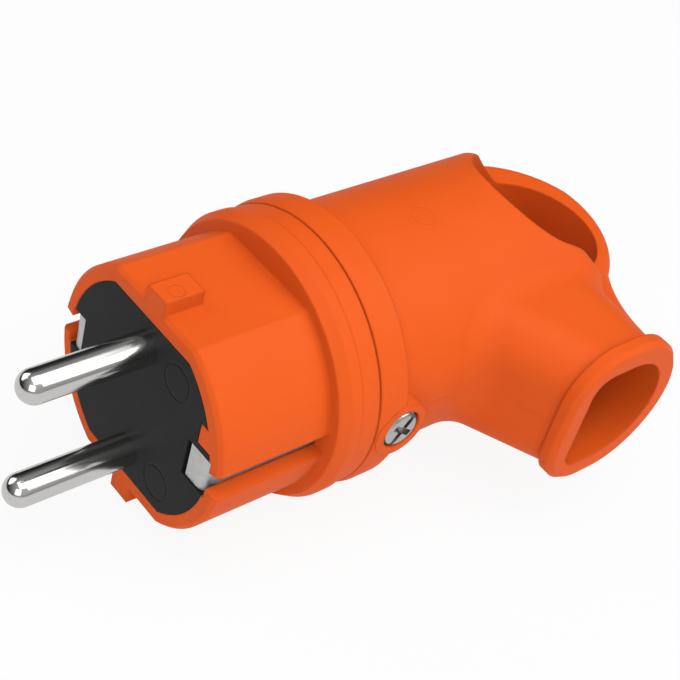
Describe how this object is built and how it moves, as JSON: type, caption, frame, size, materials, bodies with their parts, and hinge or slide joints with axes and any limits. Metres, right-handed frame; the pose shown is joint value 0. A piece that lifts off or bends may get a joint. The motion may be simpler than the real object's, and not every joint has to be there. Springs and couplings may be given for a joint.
{
  "type": "angled plug",
  "caption": "Angled round-pin mains plug with side earth contacts, a finger loop across the back and a side neck for the cable.",
  "frame": {"origin": "middle of the pin face, halfway between the two pins", "axes": "+X along the plug from the pin face to the finger loop, pins towards -X; cable neck towards -Y; pins one above the other along Z"},
  "size_m": [0.1051, 0.0537, 0.0422],
  "materials": {
    "shell": "orange moulded plastic, fine matte grain",
    "insulator": "dark grey moulded plastic, matte",
    "pin_plating": "bright nickel plating",
    "tinned_strip": "dull tinned strip",
    "screw_steel": "zinc plated"
  },
  "bodies": {
    "root": {"front_sleeve": "shell", "rear_hood": "shell", "contact_carrier": "insulator", "cord_clamp_bar": "insulator", "line_pin": "pin_plating", "neutral_pin": "pin_plating", "earth_strap": "tinned_strip", "line_terminal_screw": "screw_steel", "neutral_terminal_screw": "screw_steel", "earth_terminal_screw": "screw_steel", "hood_screw_front": "screw_steel", "hood_screw_back": "screw_steel", "hood_nut_front": "screw_steel", "hood_nut_back": "screw_steel", "cord_clamp_screw_upper": "screw_steel", "cord_clamp_screw_lower": "screw_steel"}
  },
  "joints": []
}
